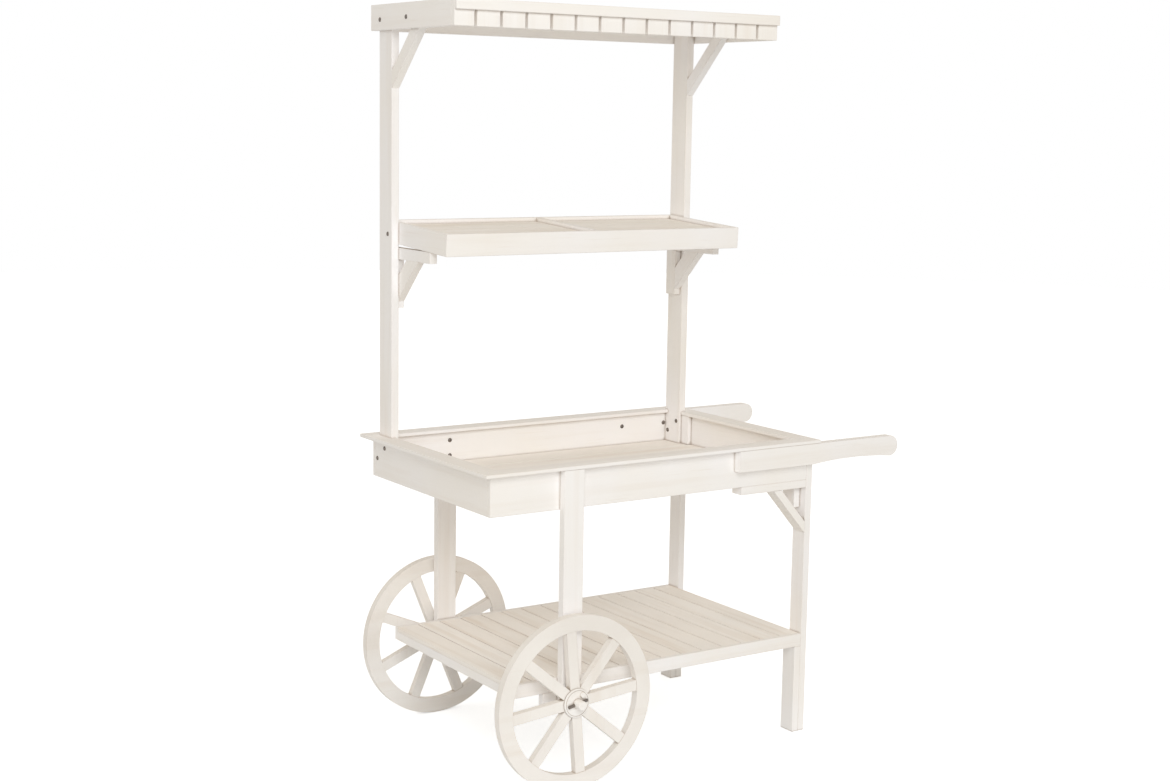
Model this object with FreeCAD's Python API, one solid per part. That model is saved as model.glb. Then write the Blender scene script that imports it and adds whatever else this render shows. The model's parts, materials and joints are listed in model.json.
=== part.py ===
import FreeCAD, Part
import math
import os

# Flower cart stand: a shallow tray on two spoked wheels and two legs, with a slatted
# shelf low down, a display shelf between two rear posts and a small canopy on top.
# Millimetres. X runs along the cart with the handles at +X, the front is at -Y and the
# floor is Z = 0. The origin is the middle of the bounding box, on the floor.

V = FreeCAD.Vector

# ---- overall -------------------------------------------------------------------------
HEIGHT = 1800.0
HALF_LENGTH = 612.0
EDGE = 1.0                      # broken edge on sawn boards
BOARD = 12.0                    # thickness of the tray and shelf boards
GAP = 2.4                       # open joint between slats

# ---- tray ----------------------------------------------------------------------------
TRAY_LENGTH = 918.0
TRAY_HALF_DEPTH = 286.0
TRAY_BOTTOM = 654.2
TRAY_WALL = 94.5
TRAY_FLOOR = 17.0
TRAY_SLATS = 6
RIM_THICK = 8.5
RIM_WIDTH = 50.0
RIM_OVERHANG = 24.0
BEARERS = 3                     # across the cart under the tray floor
BEARER_WIDE = 40.0
BEARER_TALL = 12.0
BEARER_SHORT = 56.0             # from the tray's front and back
BEARER_INSET = 108.0            # from the tray's left end and from the bracket arms
CLEAT_THICK = 12.0              # corner cleat in front of each post
CLEAT_WIDE = 30.0

# ---- posts ---------------------------------------------------------------------------
POST_THICK = 20.0
POST_DEPTH = 63.0

# ---- legs and handles ----------------------------------------------------------------
WHEEL_LEG_INSET = 211.2         # the leg's middle from the tray's left end
WHEEL_LEG_WIDTH = 53.4
WHEEL_LEG_THICK = 21.3
WHEEL_LEG_BELOW = 39.6          # below the axle
LEG_CORNER = 6.7
RIGHT_LEG_THICK = 19.0
RIGHT_LEG_DEPTH = 46.0
LEG_BRACKET_REACH = 205.0
LEG_BRACKET_DEPTH = 38.0
LEG_BRACKET_THICK = 20.0
LEG_STRUT_THICK = 18.7
LEG_STRUT_REACH = 103.0         # along X on the underside of the arm
LEG_STRUT_DROP = 116.0          # down the leg
LEG_CLEAT_BACK = 46.0
LEG_CLEAT_STEP = 22.0
LEG_CLEAT_DROP = 54.0
HANDLE_BACK = 230.0             # the handle's start from the tray's right end
HANDLE_THICK = 24.0
HANDLE_TALL = 51.7
HAND_START = 3.0                # past the tray's right end, where the hand hollow begins
HAND_RISE = 7.0

# ---- lower shelf ---------------------------------------------------------------------
LOWER_INSET = 62.0              # its left end from the tray's
LOWER_OVER_AXLE = 16.9
LOWER_TALL = 32.5
LOWER_SLATS = 14
LOWER_SLAT_THICK = 10.0
LEDGER = 20.0

# ---- display shelf between the posts -------------------------------------------------
SHELF_REACH = 297.0             # its front from the posts' backs
SHELF_UP = 468.3                # its front lower edge above the tray's walls
SHELF_WALL = 53.0
SHELF_SLOPE = 0.06              # the back stands higher
SHELF_RECESS = 10.0             # its floor below the edges of its boards
SHELF_FLOOR = 8.0
SHELF_SLATS = 4
ARM_SEAT = 19.0                 # of the arm's top, planed to the shelf's slope
ARM_TALL = 27.5
ARM_REACH = 203.0
BRACKET_THICK = 19.0
BATTEN_DEPTH = 39.0
BATTEN_STEP = 15.0              # the batten's back from the post's
BATTEN_TALL = 119.0
BRACKET_STRUT_DROP = 103.0
BRACKET_STRUT_WIDE = 40.0

# ---- canopy --------------------------------------------------------------------------
CANOPY_TALL = 60.4
CANOPY_REACH = 389.5            # its front from the posts' backs
CANOPY_END = 14.0
CANOPY_BACK = 17.5
FASCIA_TALL = 24.0
FASCIA_THICK = 10.0
DENTILS = 14
DENTIL_FIRST = 51.3             # the one at the wheel end is narrower
DENTIL_GAP = 7.6
DENTIL_THICK = 14.0
ROOF_THICK = 12.0
ROOF_SLATS = 5
CANOPY_CLEAT_TALL = 30.0
BRACE_DROP = 154.0              # its foot below the cleat
BRACE_WIDE = 28.5

# ---- wheels and axle -----------------------------------------------------------------
WHEEL_OFFSET = 6.4              # the axle from the leg's middle
WHEEL_RADIUS = 207.6
WHEEL_THICK = 19.6
FELLOE_DEEP = 37.1
SPOKES = 8
SPOKE_WIDE = 26.0
SPOKE_THICK = 17.0
NAVE_FLAT = 20.0                # from the axle to each of its flats, one for each spoke
CAP_RADIUS = 34.0
CAP_THICK = 4.0
PLUG_RADIUS = 6.5
PLUG_TALL = 5.6
PLUG_OUT = 22.9                 # from the axle, on the cap's face
PLUG_TURN = 54.0
PLUG_SIDES = 16
AXLE_RADIUS = 11.0
AXLE_PROUD = 29.4               # past the wheel
AXLE_BEVEL = 1.5
SPACER_RADIUS = 18.0
SPACER_LONG = 10.4
END_PLAY = 0.3                  # each side of the wheel along the axle
RUNNING = 0.08                  # radial clearance of the nave on the axle
FIXED = 0.1                     # radial clearance where the axle or a bolt is held
SEAT = 0.05                     # between the spokes' ends and the felloe ring
PIN_RADIUS = 3.6
PIN_HALF = 26.0
PIN_TILT = 12.0
FRONT_PHASE = 5.0
BACK_PHASE = 22.0
BLOCK_LONG = 117.0
BLOCK_THICK = 19.0
BLOCK_BELOW = 27.6              # below the axle

# ---- bolts ---------------------------------------------------------------------------
BOLT_HEAD = 5.6
HEAD_TALL = 2.8
BOLT_SHANK = 3.0
BOLT_LONG = 27.0
HEAD_SIDES = 12
SHANK_SIDES = 6
LEG_BOLTS = (22.2, 61.7)        # below the tray's walls' tops
HANDLE_BOLT_PLACES = (176.0, 38.6)  # from the tray's right end
HANDLE_BOLT_DOWN = 29.1
POST_BOLT_HIGH = (13.0, 17.7)   # from the post's front, and below the walls' tops
POST_BOLT_LOW = (50.8, 47.7)
CANOPY_BOLT_BACK = (33.3, 35.7)     # from the post's front, and below the canopy's top
CANOPY_BOLT_FRONT = (-98.7, 33.5)
SHELF_BOLT_IN = 43.4            # from the posts' backs
SHELF_BOLT_UP = 23.8            # above the shelf's underside there

# ---- worked out from the above -------------------------------------------------------
TRAY_LEFT = RIM_OVERHANG - HALF_LENGTH
TRAY_RIGHT = TRAY_LEFT + TRAY_LENGTH
TRAY_TOP = TRAY_BOTTOM + TRAY_WALL
RIM_TOP = TRAY_TOP + RIM_THICK
TRAY_FLOOR_TOP = TRAY_BOTTOM + TRAY_FLOOR
INNER_LEFT = TRAY_LEFT + BOARD
INNER_RIGHT = TRAY_RIGHT - BOARD
INNER_HALF_DEPTH = TRAY_HALF_DEPTH - BOARD
POST_FRONT = INNER_HALF_DEPTH - POST_DEPTH
POST_LEFT_IN = INNER_LEFT + POST_THICK
POST_RIGHT_IN = INNER_RIGHT - POST_THICK
WHEEL_LEG_MID = TRAY_LEFT + WHEEL_LEG_INSET
WHEEL_X = WHEEL_LEG_MID - WHEEL_OFFSET
AXLE_Z = WHEEL_RADIUS
LEG_FACE = TRAY_HALF_DEPTH + WHEEL_LEG_THICK
WHEEL_IN = LEG_FACE + SPACER_LONG + END_PLAY
WHEEL_OUT = WHEEL_IN + WHEEL_THICK
AXLE_END = WHEEL_OUT + AXLE_PROUD
CAP_IN = WHEEL_OUT + END_PLAY
PIN_Y = CAP_IN + CAP_THICK + PIN_RADIUS + FIXED
LOWER_LEFT = TRAY_LEFT + LOWER_INSET
LOWER_BOTTOM = AXLE_Z + LOWER_OVER_AXLE
LOWER_TOP = LOWER_BOTTOM + LOWER_TALL
SHELF_TILT = math.atan(SHELF_SLOPE)
SHELF_FRONT = INNER_HALF_DEPTH - SHELF_REACH
SHELF_LOW = TRAY_TOP + SHELF_UP
SHELF_DEPTH = SHELF_REACH / math.cos(SHELF_TILT)
ARM_FRONT = INNER_HALF_DEPTH - BATTEN_STEP - ARM_REACH
ARM_TOP = SHELF_LOW + SHELF_SLOPE * (ARM_FRONT + ARM_SEAT - SHELF_FRONT)
ARM_BOTTOM = ARM_TOP - ARM_TALL
BATTEN_BACK = INNER_HALF_DEPTH - BATTEN_STEP
BATTEN_FRONT = BATTEN_BACK - BATTEN_DEPTH
CANOPY_FRONT = INNER_HALF_DEPTH - CANOPY_REACH
CANOPY_BOTTOM = HEIGHT - CANOPY_TALL
ROOF_BOTTOM = HEIGHT - ROOF_THICK
CANOPY_LEFT = INNER_LEFT - CANOPY_END
CANOPY_RIGHT = INNER_RIGHT + CANOPY_END
DENTIL_BACK = CANOPY_FRONT + DENTIL_THICK
CANOPY_CLEAT_BOTTOM = ROOF_BOTTOM - CANOPY_CLEAT_TALL


def box(x0, x1, y0, y1, z0, z1):
    return Part.makeBox(x1 - x0, y1 - y0, z1 - z0, V(x0, y0, z0))


def eased(shape, size=EDGE):
    """A sawn piece with its sharp edges broken."""
    return shape.makeChamfer(size, shape.Edges)


def board(x0, x1, y0, y1, z0, z1):
    return eased(box(x0, x1, y0, y1, z0, z1))


def rod(radius, start, along, length):
    return Part.makeCylinder(radius, length, start, along)


def prism(corners, along):
    """A closed outline of straight edges, swept along a vector."""
    wire = Part.makePolygon(corners + corners[:1])
    return Part.Face(wire).extrude(along)


def facet_rod(radius, sides, start, along, length):
    """A level rod with flat sides."""
    across = along.cross(V(0, 0, 1)) * radius
    up = V(0, 0, radius)
    turns = [2.0 * math.pi * (i + 0.5) / sides for i in range(sides)]
    corners = [start + across * math.cos(t) + up * math.sin(t) for t in turns]
    return prism(corners, along * length)


def to_back(shape):
    """The same piece on the other side of the cart."""
    return shape.mirror(V(0, 0, 0), V(0, 1, 0))


def both_sides(shape):
    return Part.makeCompound([shape, to_back(shape)])


def to_right(shape):
    """The same piece on the other post."""
    middle = (INNER_LEFT + INNER_RIGHT) / 2.0
    return shape.mirror(V(middle, 0, 0), V(1, 0, 0))


def both_ends(shape):
    return Part.makeCompound([shape, to_right(shape)])


def rows(start, end, count, gap):
    """Start and end of each of a row of boards with open joints between them."""
    pitch = (end - start + gap) / count
    return [(start + i * pitch, start + (i + 1) * pitch - gap) for i in range(count)]


# ---- bolts and their holes -----------------------------------------------------------
def bolt_places():
    """Seat of each head, and the direction in which the shank goes."""
    places = []
    for side in (-1, 1):
        inner_wall = side * INNER_HALF_DEPTH
        for down in LEG_BOLTS:
            places.append((V(WHEEL_LEG_MID, inner_wall, TRAY_TOP - down), V(0, side, 0)))
        for back in HANDLE_BOLT_PLACES:
            places.append((V(TRAY_RIGHT - back, inner_wall, TRAY_TOP - HANDLE_BOLT_DOWN),
                           V(0, side, 0)))
    for behind, down in (POST_BOLT_HIGH, POST_BOLT_LOW):
        for x in (TRAY_LEFT, POST_RIGHT_IN):
            places.append((V(x, POST_FRONT + behind, TRAY_TOP - down), V(1, 0, 0)))
    for behind, down in (CANOPY_BOLT_BACK, CANOPY_BOLT_FRONT):
        for x, along in ((CANOPY_LEFT, 1), (CANOPY_RIGHT, -1)):
            places.append((V(x, POST_FRONT + behind, HEIGHT - down), V(along, 0, 0)))
    y = INNER_HALF_DEPTH - SHELF_BOLT_IN
    z = SHELF_LOW + SHELF_SLOPE * (y - SHELF_FRONT) + SHELF_BOLT_UP
    for x, along in ((INNER_LEFT, 1), (INNER_RIGHT, -1)):
        places.append((V(x, y, z), V(along, 0, 0)))
    return places


def bolt(seat, along):
    """A pan-headed bolt, made with few sides because there are many."""
    head = facet_rod(BOLT_HEAD, HEAD_SIDES, seat - along * HEAD_TALL, along, HEAD_TALL)
    shank = facet_rod(BOLT_SHANK, SHANK_SIDES, seat, along, BOLT_LONG)
    return head.fuse(shank).removeSplitter()


def carriage_bolts():
    return Part.makeCompound([bolt(seat, along) for seat, along in bolt_places()])


def bored(shape):
    """Cuts the bolt holes that pass through a piece."""
    for seat, along in bolt_places():
        hole = facet_rod(BOLT_SHANK + FIXED, SHANK_SIDES, seat, along, BOLT_LONG + FIXED)
        if shape.BoundBox.intersect(hole.BoundBox):
            shape = shape.cut(hole)
    return shape


# ---- tray ----------------------------------------------------------------------------
def tray_front_board():
    wall = board(TRAY_LEFT, TRAY_RIGHT, -TRAY_HALF_DEPTH, -INNER_HALF_DEPTH,
                 TRAY_BOTTOM, TRAY_TOP)
    return bored(wall)


def tray_left_board():
    wall = board(TRAY_LEFT, INNER_LEFT, -INNER_HALF_DEPTH, INNER_HALF_DEPTH,
                 TRAY_BOTTOM, TRAY_TOP)
    return bored(wall)


def tray_right_board():
    wall = board(INNER_RIGHT, TRAY_RIGHT, -INNER_HALF_DEPTH, INNER_HALF_DEPTH,
                 TRAY_BOTTOM, TRAY_TOP)
    return bored(wall)


def post_notches():
    """The room that the two posts take up in the rim."""
    left = box(INNER_LEFT, POST_LEFT_IN, POST_FRONT, INNER_HALF_DEPTH, TRAY_TOP, RIM_TOP)
    return both_ends(left)


def rim_front_strip():
    outer = TRAY_HALF_DEPTH + RIM_OVERHANG
    return board(TRAY_LEFT - RIM_OVERHANG, TRAY_RIGHT + RIM_OVERHANG, -outer, RIM_WIDTH - outer,
                 TRAY_TOP, RIM_TOP)


def rim_back_strip():
    return to_back(rim_front_strip()).cut(post_notches())


def rim_left_strip():
    inner = TRAY_HALF_DEPTH + RIM_OVERHANG - RIM_WIDTH
    outer = TRAY_LEFT - RIM_OVERHANG
    strip = board(outer, outer + RIM_WIDTH, -inner, inner, TRAY_TOP, RIM_TOP)
    return strip.cut(post_notches())


def rim_right_strip():
    inner = TRAY_HALF_DEPTH + RIM_OVERHANG - RIM_WIDTH
    outer = TRAY_RIGHT + RIM_OVERHANG
    strip = board(outer - RIM_WIDTH, outer, -inner, inner, TRAY_TOP, RIM_TOP)
    return strip.cut(post_notches())


def tray_floor_slats():
    return Part.makeCompound([
        board(INNER_LEFT, INNER_RIGHT, y0, y1, TRAY_BOTTOM, TRAY_FLOOR_TOP)
        for y0, y1 in rows(-INNER_HALF_DEPTH, INNER_HALF_DEPTH, TRAY_SLATS, GAP)])


def tray_floor_bearers():
    first = TRAY_LEFT + BEARER_INSET
    last = TRAY_RIGHT - LEG_BRACKET_REACH - BEARER_INSET
    deep = TRAY_HALF_DEPTH - BEARER_SHORT
    pitch = (last - first) / (BEARERS - 1)
    return Part.makeCompound([
        board(first + i * pitch - BEARER_WIDE / 2.0, first + i * pitch + BEARER_WIDE / 2.0,
              -deep, deep, TRAY_BOTTOM - BEARER_TALL, TRAY_BOTTOM)
        for i in range(BEARERS)])


def tray_corner_cleats():
    left = board(INNER_LEFT, INNER_LEFT + CLEAT_THICK, POST_FRONT - CLEAT_WIDE, POST_FRONT,
                 TRAY_FLOOR_TOP, TRAY_TOP)
    return both_ends(left)


# ---- legs ----------------------------------------------------------------------------
def axle_hole(clearance):
    return rod(AXLE_RADIUS + clearance, V(WHEEL_X, -AXLE_END, AXLE_Z), V(0, 1, 0),
               2.0 * AXLE_END)


def wheel_leg_front():
    """Down past the axle, with the corners of its end cut off."""
    left = WHEEL_LEG_MID - WHEEL_LEG_WIDTH / 2.0
    right = left + WHEEL_LEG_WIDTH
    low = AXLE_Z - WHEEL_LEG_BELOW
    leg = prism([V(left, -LEG_FACE, TRAY_TOP),
                 V(left, -LEG_FACE, low + LEG_CORNER),
                 V(left + LEG_CORNER, -LEG_FACE, low),
                 V(right - LEG_CORNER, -LEG_FACE, low),
                 V(right, -LEG_FACE, low + LEG_CORNER),
                 V(right, -LEG_FACE, TRAY_TOP)],
                V(0, WHEEL_LEG_THICK, 0))
    return bored(eased(leg)).cut(axle_hole(FIXED))


def right_leg_front():
    return board(TRAY_RIGHT, TRAY_RIGHT + RIGHT_LEG_THICK, -TRAY_HALF_DEPTH,
                 RIGHT_LEG_DEPTH - TRAY_HALF_DEPTH, 0.0, TRAY_TOP)


def leg_doublers():
    doubler = board(TRAY_RIGHT - RIGHT_LEG_THICK, TRAY_RIGHT, -TRAY_HALF_DEPTH,
                    RIGHT_LEG_DEPTH - TRAY_HALF_DEPTH, 0.0, LOWER_BOTTOM)
    return both_sides(doubler)


def leg_bracket_arms():
    arm = board(TRAY_RIGHT - LEG_BRACKET_REACH, TRAY_RIGHT, -TRAY_HALF_DEPTH,
                LEG_BRACKET_DEPTH - TRAY_HALF_DEPTH,
                TRAY_BOTTOM - LEG_BRACKET_THICK, TRAY_BOTTOM)
    return both_sides(arm)


def leg_bracket_struts():
    """Slanting from the arm's underside to the leg's inner face."""
    top = TRAY_BOTTOM - LEG_BRACKET_THICK
    long = math.hypot(LEG_STRUT_REACH, LEG_STRUT_DROP)
    on_arm = LEG_STRUT_THICK * long / LEG_STRUT_DROP
    on_leg = LEG_STRUT_THICK * long / LEG_STRUT_REACH
    start = TRAY_RIGHT - LEG_STRUT_REACH
    foot = top - LEG_STRUT_DROP
    strut = prism([V(start, -TRAY_HALF_DEPTH, top),
                   V(TRAY_RIGHT, -TRAY_HALF_DEPTH, foot),
                   V(TRAY_RIGHT, -TRAY_HALF_DEPTH, foot + on_leg),
                   V(start + on_arm, -TRAY_HALF_DEPTH, top)],
                  V(0, LEG_BRACKET_DEPTH, 0))
    return both_sides(strut)


def leg_cleats():
    """Short blocks that tie each right leg to its bracket arm from inside."""
    front = LEG_CLEAT_STEP - TRAY_HALF_DEPTH
    top = TRAY_BOTTOM - LEG_BRACKET_THICK
    cleat = board(TRAY_RIGHT - RIGHT_LEG_THICK, TRAY_RIGHT, front, front + LEG_CLEAT_BACK,
                  top - LEG_CLEAT_DROP, top)
    return both_sides(cleat)


def handle_front():
    """A board with a round end, hollowed a little below for the hand."""
    low = TRAY_TOP - HANDLE_TALL
    radius = HANDLE_TALL / 2.0
    turn = HALF_LENGTH - radius
    end = TRAY_RIGHT - HANDLE_BACK
    start = TRAY_RIGHT + HAND_START
    middle = (start + turn) / 2.0
    face = -TRAY_HALF_DEPTH - HANDLE_THICK
    edges = [
        Part.makeLine(V(end, face, low), V(start, face, low)),
        Part.Arc(V(start, face, low), V(middle, face, low + HAND_RISE),
                 V(turn, face, low)).toShape(),
        Part.Arc(V(turn, face, low), V(HALF_LENGTH, face, low + radius),
                 V(turn, face, TRAY_TOP)).toShape(),
        Part.makeLine(V(turn, face, TRAY_TOP), V(end, face, TRAY_TOP)),
        Part.makeLine(V(end, face, TRAY_TOP), V(end, face, low)),
    ]
    handle = Part.Face(Part.Wire(edges)).extrude(V(0, HANDLE_THICK, 0))
    return bored(handle)


# ---- lower shelf ---------------------------------------------------------------------
def lower_shelf_front_rail():
    return board(LOWER_LEFT, TRAY_RIGHT, -TRAY_HALF_DEPTH, -INNER_HALF_DEPTH,
                 LOWER_BOTTOM, LOWER_TOP)


def lower_shelf_end_rail(start):
    return board(start, start + BOARD, -INNER_HALF_DEPTH, INNER_HALF_DEPTH,
                 LOWER_BOTTOM, LOWER_TOP - LOWER_SLAT_THICK)


def lower_shelf_ledgers():
    """Battens along the long rails that carry the slats' ends."""
    ledger = board(LOWER_LEFT + BOARD, TRAY_RIGHT - BOARD, -INNER_HALF_DEPTH,
                   LEDGER - INNER_HALF_DEPTH, LOWER_BOTTOM, LOWER_TOP - LOWER_SLAT_THICK)
    return both_sides(ledger)


def lower_shelf_slats():
    return Part.makeCompound([
        board(x0, x1, -INNER_HALF_DEPTH, INNER_HALF_DEPTH,
              LOWER_TOP - LOWER_SLAT_THICK, LOWER_TOP)
        for x0, x1 in rows(LOWER_LEFT, TRAY_RIGHT, LOWER_SLATS, GAP)])


# ---- posts and display shelf ---------------------------------------------------------
def post_left():
    post = board(INNER_LEFT, POST_LEFT_IN, POST_FRONT, INNER_HALF_DEPTH,
                 TRAY_FLOOR_TOP, ROOF_BOTTOM)
    return bored(post)


def post_right():
    post = board(POST_RIGHT_IN, INNER_RIGHT, POST_FRONT, INNER_HALF_DEPTH,
                 TRAY_FLOOR_TOP, ROOF_BOTTOM)
    return bored(post)


def tilted(shape):
    """From the shelf's own square axes to its slope on the brackets."""
    turn = FreeCAD.Rotation(V(1, 0, 0), math.degrees(SHELF_TILT))
    shape.Placement = FreeCAD.Placement(V(0, SHELF_FRONT, SHELF_LOW), turn)
    return shape


def shelf_front_board():
    return tilted(board(POST_LEFT_IN, POST_RIGHT_IN, 0.0, BOARD, 0.0, SHELF_WALL))


def shelf_back_board():
    return tilted(board(POST_LEFT_IN, POST_RIGHT_IN, SHELF_DEPTH - BOARD, SHELF_DEPTH,
                        0.0, SHELF_WALL))


def shelf_cross_board(start):
    return tilted(board(start, start + BOARD, BOARD, SHELF_DEPTH - BOARD, 0.0, SHELF_WALL))


def divider_start():
    return (POST_LEFT_IN + POST_RIGHT_IN - BOARD) / 2.0


def shelf_floor_slats():
    """A shallow floor in each half of the shelf, close under the boards' edges."""
    top = SHELF_WALL - SHELF_RECESS
    halves = ((POST_LEFT_IN + BOARD, divider_start()),
              (divider_start() + BOARD, POST_RIGHT_IN - BOARD))
    return Part.makeCompound([
        tilted(board(x0, x1, y0, y1, top - SHELF_FLOOR, top))
        for x0, x1 in halves
        for y0, y1 in rows(BOARD, SHELF_DEPTH - BOARD, SHELF_SLATS, GAP)])


def shelf_bracket_arms():
    """Level arms, planed at the front to the slope of the shelf."""
    arm = prism([V(POST_LEFT_IN, ARM_FRONT, ARM_BOTTOM),
                 V(POST_LEFT_IN, BATTEN_BACK, ARM_BOTTOM),
                 V(POST_LEFT_IN, BATTEN_BACK, ARM_TOP),
                 V(POST_LEFT_IN, ARM_FRONT + ARM_SEAT, ARM_TOP),
                 V(POST_LEFT_IN, ARM_FRONT, ARM_TOP - SHELF_SLOPE * ARM_SEAT)],
                V(BRACKET_THICK, 0, 0))
    return both_ends(arm)


def shelf_bracket_battens():
    return both_ends(board(POST_LEFT_IN, POST_LEFT_IN + BRACKET_THICK, BATTEN_FRONT,
                           BATTEN_BACK, ARM_BOTTOM - BATTEN_TALL, ARM_BOTTOM))


def slant(x, wall, underside, drop, wide, thick):
    """A brace at 45 degrees between an upright's front and a level underside."""
    upper = wide * math.sqrt(2.0)
    return prism([V(x, wall, underside - drop),
                  V(x, wall, underside - drop + upper),
                  V(x, wall - drop + upper, underside),
                  V(x, wall - drop, underside)],
                 V(thick, 0, 0))


def shelf_bracket_struts():
    return both_ends(slant(POST_LEFT_IN, BATTEN_FRONT, ARM_BOTTOM, BRACKET_STRUT_DROP,
                           BRACKET_STRUT_WIDE, BRACKET_THICK))


# ---- canopy --------------------------------------------------------------------------
def canopy_left_board():
    end = board(CANOPY_LEFT, INNER_LEFT, DENTIL_BACK, INNER_HALF_DEPTH + CANOPY_BACK,
                CANOPY_BOTTOM, HEIGHT)
    return bored(end)


def canopy_back_board():
    return board(INNER_LEFT, INNER_RIGHT, INNER_HALF_DEPTH, INNER_HALF_DEPTH + CANOPY_BACK,
                 CANOPY_BOTTOM, HEIGHT)


def canopy_fascia():
    return board(CANOPY_LEFT, CANOPY_RIGHT, CANOPY_FRONT - FASCIA_THICK, CANOPY_FRONT,
                 HEIGHT - FASCIA_TALL, HEIGHT)


def canopy_dentils():
    """The row of short boards behind the fascia."""
    first_end = CANOPY_LEFT + DENTIL_FIRST
    spans = [(CANOPY_LEFT, first_end)]
    spans += rows(first_end + DENTIL_GAP, CANOPY_RIGHT, DENTILS - 1, DENTIL_GAP)
    return Part.makeCompound([
        board(x0, x1, CANOPY_FRONT, DENTIL_BACK, CANOPY_BOTTOM, HEIGHT)
        for x0, x1 in spans])


def canopy_roof_slats():
    return Part.makeCompound([
        board(INNER_LEFT, INNER_RIGHT, y0, y1, ROOF_BOTTOM, HEIGHT)
        for y0, y1 in rows(DENTIL_BACK, INNER_HALF_DEPTH, ROOF_SLATS, GAP)])


def canopy_cleats():
    cleat = board(INNER_LEFT, POST_LEFT_IN, DENTIL_BACK, POST_FRONT,
                  CANOPY_CLEAT_BOTTOM, ROOF_BOTTOM)
    return both_ends(bored(cleat))


def canopy_brace_left():
    return slant(INNER_LEFT, POST_FRONT, CANOPY_CLEAT_BOTTOM, BRACE_DROP, BRACE_WIDE,
                 POST_THICK)


# ---- axle and wheels -----------------------------------------------------------------
def pin_along(side):
    tilt = math.radians(PIN_TILT)
    return V(math.cos(tilt), 0, math.sin(tilt)), V(WHEEL_X, side * PIN_Y, AXLE_Z)


def pin(side, radius):
    along, middle = pin_along(side)
    return rod(radius, middle - along * PIN_HALF, along, 2.0 * PIN_HALF)


def axle():
    bar = rod(AXLE_RADIUS, V(WHEEL_X, -AXLE_END, AXLE_Z), V(0, 1, 0), 2.0 * AXLE_END)
    bar = bar.makeChamfer(AXLE_BEVEL, [e for e in bar.Edges if e.Closed])
    return bar.cut(pin(-1, PIN_RADIUS + FIXED)).cut(pin(1, PIN_RADIUS + FIXED))


def linchpins():
    """Steel pins through the axle that keep the wheels on."""
    return Part.makeCompound([pin(-1, PIN_RADIUS), pin(1, PIN_RADIUS)])


def axle_blocks():
    block = board(WHEEL_X - BLOCK_LONG / 2.0, WHEEL_X + BLOCK_LONG / 2.0, -TRAY_HALF_DEPTH,
                  BLOCK_THICK - TRAY_HALF_DEPTH, AXLE_Z - BLOCK_BELOW,
                  LOWER_BOTTOM)
    return both_sides(block.cut(axle_hole(FIXED)))


def wheel_spacers():
    ring = rod(SPACER_RADIUS, V(WHEEL_X, -LEG_FACE - SPACER_LONG, AXLE_Z), V(0, 1, 0),
               SPACER_LONG)
    return both_sides(ring.cut(axle_hole(FIXED)))


def wheel_rim():
    """The felloe ring of the front wheel."""
    start = V(WHEEL_X, -WHEEL_OUT, AXLE_Z)
    disc = rod(WHEEL_RADIUS, start, V(0, 1, 0), WHEEL_THICK)
    return disc.cut(rod(WHEEL_RADIUS - FELLOE_DEEP, start, V(0, 1, 0), WHEEL_THICK))


def wheel_middle():
    return V(WHEEL_X, -(WHEEL_IN + WHEEL_OUT) / 2.0, AXLE_Z)


def wheel_spokes(phase):
    """Spokes seated on the nave's flats and in the ring, mitred against each other."""
    middle = wheel_middle()
    start = middle - V(0, SPOKE_THICK / 2.0, 0)
    within = rod(WHEEL_RADIUS - FELLOE_DEEP - SEAT, start, V(0, 1, 0), SPOKE_THICK)
    mitre = math.tan(math.radians(180.0 / SPOKES))
    wide = SPOKE_WIDE / 2.0
    outline = [V(NAVE_FLAT, 0, -NAVE_FLAT * mitre),
               V(wide / mitre, 0, -wide),
               V(WHEEL_RADIUS, 0, -wide),
               V(WHEEL_RADIUS, 0, wide),
               V(wide / mitre, 0, wide),
               V(NAVE_FLAT, 0, NAVE_FLAT * mitre)]
    bar = prism([start + p for p in outline], V(0, SPOKE_THICK, 0)).common(within)
    spokes = []
    for i in range(SPOKES):
        spoke = bar.copy()
        spoke.rotate(middle, V(0, -1, 0), phase + i * 360.0 / SPOKES)
        spokes.append(spoke)
    return Part.makeCompound(spokes)


def wheel_nave(phase):
    """A block with a flat for each spoke and the running bore for the axle."""
    corner = NAVE_FLAT / math.cos(math.pi / SPOKES)
    nave = facet_rod(corner, SPOKES, V(WHEEL_X, -WHEEL_OUT, AXLE_Z), V(0, 1, 0), WHEEL_THICK)
    nave = nave.cut(axle_hole(RUNNING))
    nave.rotate(wheel_middle(), V(0, -1, 0), phase)
    return nave


def wheel_cap():
    """The disc on the axle that covers the spokes' mitres, with its round plug."""
    start = V(WHEEL_X, -CAP_IN - CAP_THICK, AXLE_Z)
    disc = rod(CAP_RADIUS, start, V(0, 1, 0), CAP_THICK).cut(axle_hole(FIXED))
    turn = math.radians(PLUG_TURN)
    out = V(PLUG_OUT * math.cos(turn), -PLUG_TALL, PLUG_OUT * math.sin(turn))
    plug = facet_rod(PLUG_RADIUS, PLUG_SIDES, start + out, V(0, 1, 0), PLUG_TALL)
    return Part.makeCompound([disc, plug])


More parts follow.
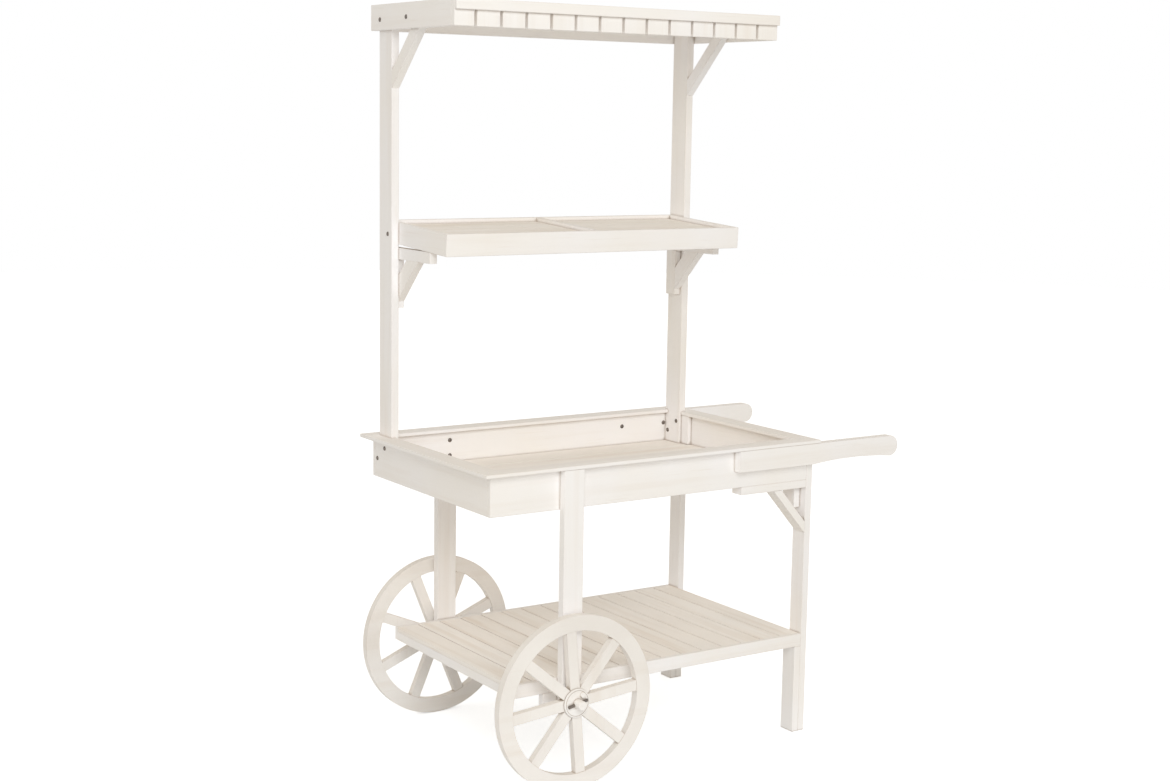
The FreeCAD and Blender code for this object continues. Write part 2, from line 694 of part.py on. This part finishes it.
PARTS = {
    "tray_front_board": tray_front_board(),
    "tray_back_board": to_back(tray_front_board()),
    "tray_left_board": tray_left_board(),
    "tray_right_board": tray_right_board(),
    "rim_front_strip": rim_front_strip(),
    "rim_back_strip": rim_back_strip(),
    "rim_left_strip": rim_left_strip(),
    "rim_right_strip": rim_right_strip(),
    "tray_floor_slats": tray_floor_slats(),
    "tray_floor_bearers": tray_floor_bearers(),
    "tray_corner_cleats": tray_corner_cleats(),
    "wheel_leg_front": wheel_leg_front(),
    "wheel_leg_back": to_back(wheel_leg_front()),
    "right_leg_front": right_leg_front(),
    "right_leg_back": to_back(right_leg_front()),
    "leg_doublers": leg_doublers(),
    "leg_bracket_arms": leg_bracket_arms(),
    "leg_bracket_struts": leg_bracket_struts(),
    "leg_cleats": leg_cleats(),
    "handle_front": handle_front(),
    "handle_back": to_back(handle_front()),
    "lower_shelf_front_rail": lower_shelf_front_rail(),
    "lower_shelf_back_rail": to_back(lower_shelf_front_rail()),
    "lower_shelf_left_rail": lower_shelf_end_rail(LOWER_LEFT),
    "lower_shelf_right_rail": lower_shelf_end_rail(TRAY_RIGHT - BOARD),
    "lower_shelf_ledgers": lower_shelf_ledgers(),
    "lower_shelf_slats": lower_shelf_slats(),
    "post_left": post_left(),
    "post_right": post_right(),
    "shelf_front_board": shelf_front_board(),
    "shelf_back_board": shelf_back_board(),
    "shelf_left_board": bored(shelf_cross_board(POST_LEFT_IN)),
    "shelf_right_board": bored(shelf_cross_board(POST_RIGHT_IN - BOARD)),
    "shelf_divider": shelf_cross_board(divider_start()),
    "shelf_floor_slats": shelf_floor_slats(),
    "shelf_bracket_arms": shelf_bracket_arms(),
    "shelf_bracket_battens": shelf_bracket_battens(),
    "shelf_bracket_struts": shelf_bracket_struts(),
    "canopy_left_board": canopy_left_board(),
    "canopy_right_board": to_right(canopy_left_board()),
    "canopy_back_board": canopy_back_board(),
    "canopy_fascia": canopy_fascia(),
    "canopy_dentils": canopy_dentils(),
    "canopy_roof_slats": canopy_roof_slats(),
    "canopy_cleats": canopy_cleats(),
    "canopy_brace_left": canopy_brace_left(),
    "canopy_brace_right": to_right(canopy_brace_left()),
    "axle": axle(),
    "axle_blocks": axle_blocks(),
    "wheel_spacers": wheel_spacers(),
    "linchpins": linchpins(),
    "carriage_bolts": carriage_bolts(),
    "wheel_front_rim": wheel_rim(),
    "wheel_front_spokes": wheel_spokes(FRONT_PHASE),
    "wheel_front_nave": wheel_nave(FRONT_PHASE),
    "wheel_front_cap": wheel_cap(),
    "wheel_back_rim": to_back(wheel_rim()),
    "wheel_back_spokes": to_back(wheel_spokes(BACK_PHASE)),
    "wheel_back_nave": to_back(wheel_nave(BACK_PHASE)),
    "wheel_back_cap": to_back(wheel_cap()),
}

os.makedirs("parts", exist_ok=True)
for name, shape in PARTS.items():
    shape.exportStep("parts/" + name + ".step")
    bounds = shape.BoundBox
    print("%-24s solids %2d volume %10.0f valid %s  x %.1f %.1f y %.1f %.1f z %.1f %.1f" % (
        name, len(shape.Solids), shape.Volume, shape.isValid(), bounds.XMin, bounds.XMax,
        bounds.YMin, bounds.YMax, bounds.ZMin, bounds.ZMax))
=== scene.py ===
import json
import math

import bmesh
import bpy
from mathutils import Matrix, Vector


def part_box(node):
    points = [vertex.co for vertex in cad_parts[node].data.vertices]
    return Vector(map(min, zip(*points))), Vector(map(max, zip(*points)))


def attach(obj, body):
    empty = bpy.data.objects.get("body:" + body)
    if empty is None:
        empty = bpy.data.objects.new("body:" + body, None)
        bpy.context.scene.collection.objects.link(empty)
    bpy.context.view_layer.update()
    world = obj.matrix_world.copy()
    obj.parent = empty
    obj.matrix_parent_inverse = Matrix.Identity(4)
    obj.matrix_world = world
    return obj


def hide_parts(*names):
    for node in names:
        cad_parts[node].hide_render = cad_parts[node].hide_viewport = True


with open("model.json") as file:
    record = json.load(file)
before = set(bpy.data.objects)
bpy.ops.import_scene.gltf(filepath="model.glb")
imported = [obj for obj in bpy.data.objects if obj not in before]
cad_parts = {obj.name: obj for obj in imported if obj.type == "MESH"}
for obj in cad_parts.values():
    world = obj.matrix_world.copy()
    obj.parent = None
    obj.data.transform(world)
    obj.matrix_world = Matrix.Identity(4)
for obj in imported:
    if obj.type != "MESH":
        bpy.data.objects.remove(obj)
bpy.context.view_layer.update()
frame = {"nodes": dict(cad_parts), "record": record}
NODES = frame["nodes"]

# ---- camera, as fitted to the photo --------------------------------------------------
PHOTO_WIDE, PHOTO_TALL = 1170, 781
CAMERA_AT = Vector((-2.6266, -3.7324, 1.5399))
CAMERA_YAW = math.radians(33.61)        # from +Y towards +X
CAMERA_PITCH = math.radians(8.44)       # downwards
CAMERA_ROLL = math.radians(0.9456)
FOCAL_PIXELS = 1831.9
CENTRE_PIXELS = (586.2, 390.3)
SENSOR = 36.0

# ---- light ---------------------------------------------------------------------------
SKY = (1.0, 0.953, 0.89)
SKY_STRENGTH = 0.75
KEY_COLOUR = (0.90, 0.948, 1.0)
KEY_POWER = 127.0
KEY_AT = (-2.3, -4.5, 3.3)
KEY_AIM = (-0.1, 0.0, 0.8)
KEY_SIZE = (3.2, 2.6)
FLOOR_PALE = (0.82, 0.84, 0.86)
FLOOR_GLOW = 0.54
FLOOR_RADIUS = 14.0

# ---- paint ---------------------------------------------------------------------------
PAINT = (0.915, 0.885, 0.855)
PAINT_WARM = (0.90, 0.855, 0.79)
SLAT_PAINT = (0.89, 0.83, 0.75)
LOWER_SLAT_PAINT = (0.95, 0.895, 0.82)
WHEEL_PAINT = (0.825, 0.775, 0.71)
BARE = (0.66, 0.53, 0.39)
# colour of the painted shade in joints and corners
JOINT_SHADE_COLOUR = (0.40, 0.31, 0.22)
# colour of the painted shade on faces that look up
TOP_SHADE_COLOUR = (0.70, 0.63, 0.545)
STEEL = (0.13, 0.115, 0.105)
RUST = (0.30, 0.24, 0.19)
OPEN_SHADE = (0.925, 0.925, 0.925)         # painted shade: paint dimmed in the open, against its plain colour
SHELTER_LIGHT = (1.05, 1.06, 1.085)         # painted light: paint lifted where other boards are near and shade it

# scale, detail and roughness of each noise
FINE_GRAIN = (5.0, 6.0, 0.6)
BROAD_GRAIN = (0.9, 3.0, 0.5)
CLOUDS = (3.2, 3.0, 0.5)
PATCHES = (22.0, 4.0, 0.6)
SPOTS = (260.0, 4.0, 0.6)

# the values between which each effect fades in
CLOUD_FADE = (0.35, 0.68)
BROAD_FADE = (0.50, 0.72)
FINE_FADE = (0.60, 0.78)
PATCH_FADE = (0.42, 0.62)
RUST_FADE = (0.4, 0.7)
SHELTER_LIGHT_FADE = (0.92, 0.55)
JOINT_SHADE_FADE = (0.80, 0.35)
EDGE_FADE = (0.985, 0.80)
UPWARD_FADE = (0.6, 0.95)

BROAD_BARE = 0.30                       # most bare wood in the broad streaks
FINE_BARE = 0.34                        # and in the fine ones
BOARD_TINT = 0.12                       # most that a slat differs from its neighbours
RUBBED = 0.55                           # most bare wood on a rubbed edge
JOINT_SHADE_DEPTH = 0.62                       # most painted shade in a joint
EDGE_RADIUS = 0.0016                    # of the rubbed edges, m
SOFT_RADIUS = EDGE_RADIUS * 0.6         # of the softened edges, m
JOINT_SHADE_REACH = 0.010                     # how far the painted shade reaches out of a joint, m
SHELTER_LIGHT_REACH = 0.45                    # how near a board is for the painted light under it, m
GRAIN_DEEP = 0.0006                     # height of the grain, m
SPOTS_DEEP = 0.0003                     # height of the steel's spots, m

GRAIN = {                               # noise scale with the grain along each axis
    "x": (1.6, 34.0, 34.0),
    "y": (34.0, 1.6, 34.0),
    "z": (34.0, 34.0, 1.6),
}
STRUT_SLOPE = math.radians(-48.4)       # of the leg struts' grain
BRACE_SLOPE = math.radians(45.0)        # of the braces' grain
LOWER_SLATS = 14
TRAY_SLATS = 6
SLAT_GAP = 0.0024

# ---- bolts and hub caps: the solids' sizes with rounded forms, in metres ---------------
BOLT_HEAD = 0.0056
HEAD_TALL = 0.0028
HEAD_SHARE = 0.99                       # keeps the dome inside the plain head
BOLT_SHANK = 0.0030
SHANK_EASE = 0.001
CAP_RADIUS = 0.034
CAP_THICK = 0.004
CAP_HOLE = 0.0111
CAP_IN = 0.3379                         # the cap's inner face from the cart's middle
PLUG_RADIUS = 0.0065
PLUG_TALL = 0.0056
PLUG_OUT = 0.0229                       # the plug's middle from the axle's
PLUG_TURN = math.radians(54.0)
AXLE_X, AXLE_Z = -0.3832, 0.2076
# each step is (below the face, in from the edge)
CAP_EASE = [(0.0010, 0.0), (0.0003, 0.0004), (0.0, 0.0011)]
CAP_RING = [(0.0, 0.0030), (0.0012, 0.0034), (0.0012, 0.0042), (0.0, 0.0046)]
PLUG_EASE = [(0.0012, 0.0), (0.0004, 0.0004), (0.0, 0.0014)]
HOLE_EASE = 0.0006
SMOOTH_ANGLE = math.radians(38.0)       # edges sharper than this stay sharp


def camera():
    """The photo's view: place, direction, roll and focal length from the fit."""
    forward = Vector((math.sin(CAMERA_YAW) * math.cos(CAMERA_PITCH),
                      math.cos(CAMERA_YAW) * math.cos(CAMERA_PITCH),
                      -math.sin(CAMERA_PITCH)))
    level = forward.cross(Vector((0, 0, 1))).normalized()
    upright = level.cross(forward)
    right = math.cos(CAMERA_ROLL) * level + math.sin(CAMERA_ROLL) * upright
    up = math.cos(CAMERA_ROLL) * upright - math.sin(CAMERA_ROLL) * level
    data = bpy.data.cameras.new("camera")
    data.sensor_fit = "HORIZONTAL"
    data.sensor_width = SENSOR
    data.lens = SENSOR * FOCAL_PIXELS / PHOTO_WIDE
    data.shift_x = (PHOTO_WIDE / 2.0 - CENTRE_PIXELS[0]) / PHOTO_WIDE
    data.shift_y = (CENTRE_PIXELS[1] - PHOTO_TALL / 2.0) / PHOTO_WIDE
    data.clip_end = 60.0
    eye = bpy.data.objects.new("camera", data)
    turn = Matrix((right, up, -forward)).transposed().to_4x4()
    eye.matrix_world = Matrix.Translation(CAMERA_AT) @ turn
    bpy.context.collection.objects.link(eye)
    bpy.context.scene.camera = eye


# ---- node helpers --------------------------------------------------------------------
class Shader:
    """A material's node tree, written as short calls."""

    def __init__(self, name):
        self.material = bpy.data.materials.new(name)
        self.material.use_nodes = True
        self.tree = self.material.node_tree
        self.tree.nodes.clear()
        self.surface = self.node("ShaderNodeBsdfPrincipled")
        out = self.node("ShaderNodeOutputMaterial")
        self.link(self.surface.outputs["BSDF"], out.inputs["Surface"])
        self.place = self.node("ShaderNodeTexCoord").outputs["Object"]

    def node(self, kind, **settings):
        made = self.tree.nodes.new(kind)
        for key, value in settings.items():
            setattr(made, key, value)
        return made

    def link(self, source, target):
        self.tree.links.new(source, target)

    def put(self, value, socket):
        if isinstance(value, bpy.types.NodeSocket):
            self.link(value, socket)
        else:
            socket.default_value = value

    def stretched(self, scale, source):
        mapping = self.node("ShaderNodeMapping")
        self.link(source, mapping.inputs["Vector"])
        mapping.inputs["Scale"].default_value = scale
        return mapping.outputs["Vector"]

    def turned(self, angles):
        mapping = self.node("ShaderNodeMapping")
        self.link(self.place, mapping.inputs["Vector"])
        mapping.inputs["Rotation"].default_value = angles
        return mapping.outputs["Vector"]

    def noise(self, vector, scale, detail=4.0, rough=0.5):
        made = self.node("ShaderNodeTexNoise")
        self.link(vector, made.inputs["Vector"])
        made.inputs["Scale"].default_value = scale
        made.inputs["Detail"].default_value = detail
        made.inputs["Roughness"].default_value = rough
        return made.outputs["Fac"]

    def ramp(self, value, low, high, start=0.0, end=1.0):
        made = self.node("ShaderNodeMapRange")
        self.link(value, made.inputs["Value"])
        made.inputs["From Min"].default_value = low
        made.inputs["From Max"].default_value = high
        made.inputs["To Min"].default_value = start
        made.inputs["To Max"].default_value = end
        return made.outputs["Result"]

    def math(self, operation, a, b=0.0):
        made = self.node("ShaderNodeMath", operation=operation)
        self.put(a, made.inputs[0])
        self.put(b, made.inputs[1])
        return made.outputs[0]

    def mix(self, share, first, second, blend="MIX"):
        made = self.node("ShaderNodeMix", data_type="RGBA", blend_type=blend)
        self.put(share, made.inputs["Factor"])
        for value, socket in ((first, made.inputs[6]), (second, made.inputs[7])):
            if not isinstance(value, bpy.types.NodeSocket):
                value = (*value, 1.0)
            self.put(value, socket)
        return made.outputs[2]

    def separate(self, vector):
        made = self.node("ShaderNodeSeparateXYZ")
        self.link(vector, made.inputs[0])
        return made.outputs

    def rounded(self, radius):
        """The surface's direction with its edges softened."""
        made = self.node("ShaderNodeBevel", samples=6)
        made.inputs["Radius"].default_value = radius
        return made.outputs["Normal"]

    def edges(self, radius):
        """1 on sharp edges, 0 on flat faces."""
        flat = self.node("ShaderNodeNewGeometry").outputs["Normal"]
        dot = self.node("ShaderNodeVectorMath", operation="DOT_PRODUCT")
        self.link(self.rounded(radius), dot.inputs[0])
        self.link(flat, dot.inputs[1])
        return self.ramp(dot.outputs["Value"], *EDGE_FADE)

    def upward(self):
        """1 on faces that look up, 0 on upright ones."""
        flat = self.node("ShaderNodeNewGeometry").outputs["Normal"]
        return self.ramp(self.separate(flat)[2], *UPWARD_FADE)

    def closed_in(self, reach, none, full):
        """1 where nearby pieces close a face in, 0 in the open."""
        made = self.node("ShaderNodeAmbientOcclusion", samples=8)
        made.inputs["Distance"].default_value = reach
        return self.ramp(made.outputs["AO"], none, full)

    def bump(self, height, strength, distance, normal=None):
        made = self.node("ShaderNodeBump")
        if normal is not None:
            self.link(normal, made.inputs["Normal"])
        made.inputs["Strength"].default_value = strength
        made.inputs["Distance"].default_value = distance
        self.link(height, made.inputs["Height"])
        return made.outputs["Normal"]


def painted_wood(name, along, paint=PAINT, worn=0.5, tint_axis=None, pitch=1.0,
                 start=0.0, turn=(0.0, 0.0, 0.0), top_shade=0.26):
    """Antique white paint over wood: grain along one axis, thin rubbed streaks,
    cloudy colour and, on slats, a slightly different tint for each board."""
    s = Shader(name)
    place = s.turned(turn)
    grain_place = s.stretched(GRAIN[along], place)
    fine = s.noise(grain_place, *FINE_GRAIN)
    broad = s.noise(grain_place, *BROAD_GRAIN)
    cloud = s.noise(place, *CLOUDS)
    colour = s.mix(s.ramp(cloud, *CLOUD_FADE), paint, PAINT_WARM)
    colour = s.mix(s.ramp(broad, *BROAD_FADE, 0.0, BROAD_BARE * worn), colour, BARE)
    colour = s.mix(s.ramp(fine, *FINE_FADE, 0.0, FINE_BARE * worn), colour, BARE)
    if tint_axis is not None:
        row = s.separate(place)[tint_axis]
        board = s.math("FLOOR", s.math("DIVIDE", s.math("SUBTRACT", row, start), pitch))
        chance = s.node("ShaderNodeTexWhiteNoise", noise_dimensions="1D")
        s.link(board, chance.inputs["W"])
        shade = s.ramp(chance.outputs["Value"], 0.0, 1.0, 0.0, BOARD_TINT)
        colour = s.mix(shade, colour, BARE)
    # painted shade: faces that look up are darkened towards tan
    colour = s.mix(s.math("MULTIPLY", s.upward(), top_shade), colour, TOP_SHADE_COLOUR)
    # painted light: the colour is lifted where nearby boards close a face in, and dimmed in
    # the open
    painted_fill = s.mix(s.closed_in(SHELTER_LIGHT_REACH, *SHELTER_LIGHT_FADE), OPEN_SHADE, SHELTER_LIGHT)
    colour = s.mix(1.0, colour, painted_fill, "MULTIPLY")
    patches = s.ramp(s.noise(place, *PATCHES), *PATCH_FADE)
    rubbed = s.math("MULTIPLY", s.edges(EDGE_RADIUS), s.math("MULTIPLY", patches, RUBBED))
    colour = s.mix(rubbed, colour, BARE)
    # painted shade: the colour darkens towards brown in joints and corners, by ambient
    # occlusion
    joint_shade = s.math("MULTIPLY", s.closed_in(JOINT_SHADE_REACH, *JOINT_SHADE_FADE), JOINT_SHADE_DEPTH)
    colour = s.mix(joint_shade, colour, JOINT_SHADE_COLOUR)
    s.link(colour, s.surface.inputs["Base Color"])
    rough = s.ramp(fine, 0.3, 0.7, 0.50, 0.66)
    s.link(rough, s.surface.inputs["Roughness"])
    s.surface.inputs["Specular IOR Level"].default_value = 0.25
    height = s.math("ADD", fine, s.math("MULTIPLY", broad, 0.6))
    soft = s.rounded(SOFT_RADIUS)
    s.link(s.bump(height, 0.35, GRAIN_DEEP, soft), s.surface.inputs["Normal"])
    return s.material


def dark_steel():
    """Oxidised steel for bolts and linchpins."""
    s = Shader("dark_steel")
    spots = s.noise(s.place, *SPOTS)
    colour = s.mix(s.ramp(spots, *RUST_FADE), STEEL, RUST)
    s.link(colour, s.surface.inputs["Base Color"])
    s.surface.inputs["Metallic"].default_value = 0.55
    s.link(s.ramp(spots, 0.3, 0.7, 0.38, 0.6), s.surface.inputs["Roughness"])
    s.link(s.bump(spots, 0.3, SPOTS_DEEP), s.surface.inputs["Normal"])
    return s.material


def slat_row(node, axis, count):
    """Start and pitch of a row of slats, from its solids' box."""
    low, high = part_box(node)
    return low[axis], (high[axis] - low[axis] + SLAT_GAP) / count


def paints():
    shelf_start, shelf_pitch = slat_row("lower_shelf_slats", 0, LOWER_SLATS)
    tray_start, tray_pitch = slat_row("tray_floor_slats", 1, TRAY_SLATS)
    return {
        "paint_long": painted_wood("paint_long", "x"),
        "paint_cross": painted_wood("paint_cross", "y"),
        "paint_upright": painted_wood("paint_upright", "z"),
        "paint_leg_strut": painted_wood("paint_leg_strut", "x",
                                        turn=(0.0, STRUT_SLOPE, 0.0)),
        "paint_brace": painted_wood("paint_brace", "y", turn=(BRACE_SLOPE, 0.0, 0.0)),
        "slats_long": painted_wood("slats_long", "x", SLAT_PAINT, 0.9, 1, tray_pitch,
                                   tray_start, top_shade=0.05),
        "slats_cross": painted_wood("slats_cross", "y", LOWER_SLAT_PAINT, 1.1, 0,
                                    shelf_pitch, shelf_start, top_shade=0.0),
        "wheel_ring": painted_wood("wheel_ring", "x", WHEEL_PAINT, 0.5),
        "wheel_spokes": painted_wood("wheel_spokes", "z", WHEEL_PAINT, 0.5),
        "wheel_hub": painted_wood("wheel_hub", "x", worn=0.6),
        "dark_steel": dark_steel(),
    }


def paint_nodes(materials):
    """Gives each CAD node the material of its record slot."""
    for entry in frame["record"]["subparts"]:
        for slot in NODES[entry["node"]].material_slots:
            slot.material = materials[entry["material_slot"]]


# ---- turned pieces -------------------------------------------------------------------
def turn_profile(mesh, profile, origin, along, sides=32):
    """Adds a turned solid: profile is (distance along the axis, radius), closed."""
    along = Vector(along).normalized()
    across = along.orthogonal().normalized()
    other = along.cross(across)
    rings = []
    for distance, radius in profile:
        centre = Vector(origin) + along * distance
        if radius == 0.0:
            rings.append([mesh.verts.new(centre)])
            continue
        angles = [2.0 * math.pi * i / sides for i in range(sides)]
        rings.append([mesh.verts.new(centre + radius * (math.cos(a) * across
                                                        + math.sin(a) * other))
                      for a in angles])
    closed = profile[0][1] > 0.0
    for first, second in zip(rings, rings[1:] + (rings[:1] if closed else [])):
        for i in range(sides):
            j = (i + 1) % sides
            corners = [first[i % len(first)], first[j % len(first)],
                       second[j % len(second)], second[i % len(second)]]
            corners = [v for k, v in enumerate(corners) if v not in corners[:k]]
            mesh.faces.new(corners)


def turned_piece(name, mesh, material, nodes):
    """Makes one object of turned solids, which stands for its CAD nodes."""
    bmesh.ops.recalc_face_normals(mesh, faces=mesh.faces[:])
    data = bpy.data.meshes.new(name)
    mesh.to_mesh(data)
    mesh.free()
    data.shade_smooth()
    data.set_sharp_from_angle(angle=SMOOTH_ANGLE)
    data.materials.append(material)
    piece = bpy.data.objects.new(name, data)
    bpy.context.collection.objects.link(piece)
    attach(piece, "stand")
    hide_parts(*nodes)


def loose_parts(data):
    """The corner points of each separate solid in a mesh."""
    mesh = bmesh.new()
    mesh.from_mesh(data)
    bmesh.ops.remove_doubles(mesh, verts=mesh.verts[:], dist=1e-6)
    left = set(mesh.verts)
    parts = []
    while left:
        reached = [left.pop()]
        for vert in reached:
            for edge in vert.link_edges:
                near = edge.other_vert(vert)
                if near in left:
                    left.remove(near)
                    reached.append(near)
        parts.append([v.co.copy() for v in reached])
    mesh.free()
    return parts


def dome(radius, tall, steps=7):
    """Half of a flattened round head, from its crown to its rim."""
    quarter = [0.5 * math.pi * i / steps for i in range(steps + 1)]
    return [(-tall * math.cos(t), radius * math.sin(t)) for t in quarter]


def bolts(material):
    """Round-headed bolts where the solids have plain ones."""
    mesh = bmesh.new()
    for points in loose_parts(NODES["carriage_bolts"].data):
        low = Vector([min(p[k] for p in points) for k in range(3)])
        high = Vector([max(p[k] for p in points) for k in range(3)])
        size = high - low
        axis = 0 if size.x > size.y else 1
        centre = (low + high) / 2.0
        head = [p for p in points
                if math.hypot(p.z - centre.z, p[1 - axis] - centre[1 - axis])
                > (BOLT_HEAD + BOLT_SHANK) / 2.0]
        way = -1.0 if sum(p[axis] for p in head) / len(head) > centre[axis] else 1.0
        along = Vector((0.0, 0.0, 0.0))
        along[axis] = way
        seat = centre - along * (size[axis] / 2.0 - HEAD_TALL)
        shank = size[axis] - HEAD_TALL
        profile = dome(BOLT_HEAD * HEAD_SHARE, HEAD_TALL)
        profile += [(0.0, BOLT_SHANK), (shank - SHANK_EASE, BOLT_SHANK),
                    (shank, BOLT_SHANK - SHANK_EASE), (shank, 0.0)]
        turn_profile(mesh, profile, seat, along, 24)
    turned_piece("bolts", mesh, material, ["carriage_bolts"])


def stepped(tall, radius, steps):
    """Points of a profile, measured down from a face and in from an edge."""
    return [(tall - down, radius - within) for down, within in steps]


def hub_caps(material):
    """Turned discs with an eased edge and a cut ring, each with its round plug."""
    ring = [(0.0, CAP_HOLE), (0.0, CAP_RADIUS)]
    ring += stepped(CAP_THICK, CAP_RADIUS, CAP_EASE + CAP_RING)
    ring += [(CAP_THICK, CAP_HOLE + HOLE_EASE), (CAP_THICK - HOLE_EASE, CAP_HOLE)]
    plug = [(0.0, 0.0), (0.0, PLUG_RADIUS)]
    plug += stepped(PLUG_TALL, PLUG_RADIUS, PLUG_EASE) + [(PLUG_TALL, 0.0)]
    for side, name in ((-1.0, "front"), (1.0, "back")):
        mesh = bmesh.new()
        along = (0.0, side, 0.0)
        turn_profile(mesh, ring, (AXLE_X, side * CAP_IN, AXLE_Z), along, 64)
        place = (AXLE_X + PLUG_OUT * math.cos(PLUG_TURN), side * (CAP_IN + CAP_THICK),
                 AXLE_Z + PLUG_OUT * math.sin(PLUG_TURN))
        turn_profile(mesh, plug, place, along, 32)
        turned_piece("hub_cap_" + name, mesh, material,
                     ["wheel_%s_cap" % name])


# ---- stage ---------------------------------------------------------------------------
def shows_background(tree):
    """1 for rays that see the background: straight, in a reflection or through glass."""
    path = tree.nodes.new("ShaderNodeLightPath")
    seen = path.outputs["Is Camera Ray"]
    for kind in ("Is Glossy Ray", "Is Transmission Ray"):
        either = tree.nodes.new("ShaderNodeMath")
        either.operation = "MAXIMUM"
        tree.links.new(seen, either.inputs[0])
        tree.links.new(path.outputs[kind], either.inputs[1])
        seen = either.outputs[0]
    return seen


def floor():
    """A pale floor that keeps a soft shadow and meets the white background."""
    bpy.ops.mesh.primitive_circle_add(vertices=96, radius=FLOOR_RADIUS, fill_type="NGON")
    ground = bpy.context.active_object
    ground.name = "floor"
    s = Shader("floor")
    s.surface.inputs["Base Color"].default_value = (*FLOOR_PALE, 1.0)
    s.surface.inputs["Roughness"].default_value = 0.9
    s.surface.inputs["Specular IOR Level"].default_value = 0.0
    s.surface.inputs["Emission Color"].default_value = (1.0, 1.0, 1.0, 1.0)
    glow = s.math("MULTIPLY", shows_background(s.tree), FLOOR_GLOW)
    s.link(glow, s.surface.inputs["Emission Strength"])
    ground.data.materials.append(s.material)


def surroundings():
    """Even light all round, and plain white where the camera looks past the floor."""
    world = bpy.data.worlds.new("studio")
    bpy.context.scene.world = world
    world.use_nodes = True
    tree = world.node_tree
    tree.nodes.clear()
    soft = tree.nodes.new("ShaderNodeBackground")
    soft.inputs["Color"].default_value = (*SKY, 1.0)
    soft.inputs["Strength"].default_value = SKY_STRENGTH
    white = tree.nodes.new("ShaderNodeBackground")
    white.inputs["Color"].default_value = (1.0, 1.0, 1.0, 1.0)
    white.inputs["Strength"].default_value = 1.0
    choice = tree.nodes.new("ShaderNodeMixShader")
    out = tree.nodes.new("ShaderNodeOutputWorld")
    tree.links.new(shows_background(tree), choice.inputs["Fac"])
    tree.links.new(soft.outputs["Background"], choice.inputs[1])
    tree.links.new(white.outputs["Background"], choice.inputs[2])
    tree.links.new(choice.outputs["Shader"], out.inputs["Surface"])


def panel(name, place, target, size, power, colour):
    """A soft rectangular light that faces a point."""
    data = bpy.data.lights.new(name, "AREA")
    data.shape = "RECTANGLE"
    data.size, data.size_y = size
    data.energy = power
    data.color = colour
    lamp = bpy.data.objects.new(name, data)
    lamp.location = place
    lamp.rotation_euler = (Vector(target) - Vector(place)).to_track_quat("-Z", "Y").to_euler()
    bpy.context.collection.objects.link(lamp)


bpy.context.scene.view_settings.view_transform = "Standard"
camera()
materials = paints()
paint_nodes(materials)
bolts(materials["dark_steel"])
hub_caps(materials["wheel_hub"])
floor()
surroundings()
panel("key", KEY_AT, KEY_AIM, KEY_SIZE, KEY_POWER, KEY_COLOUR)
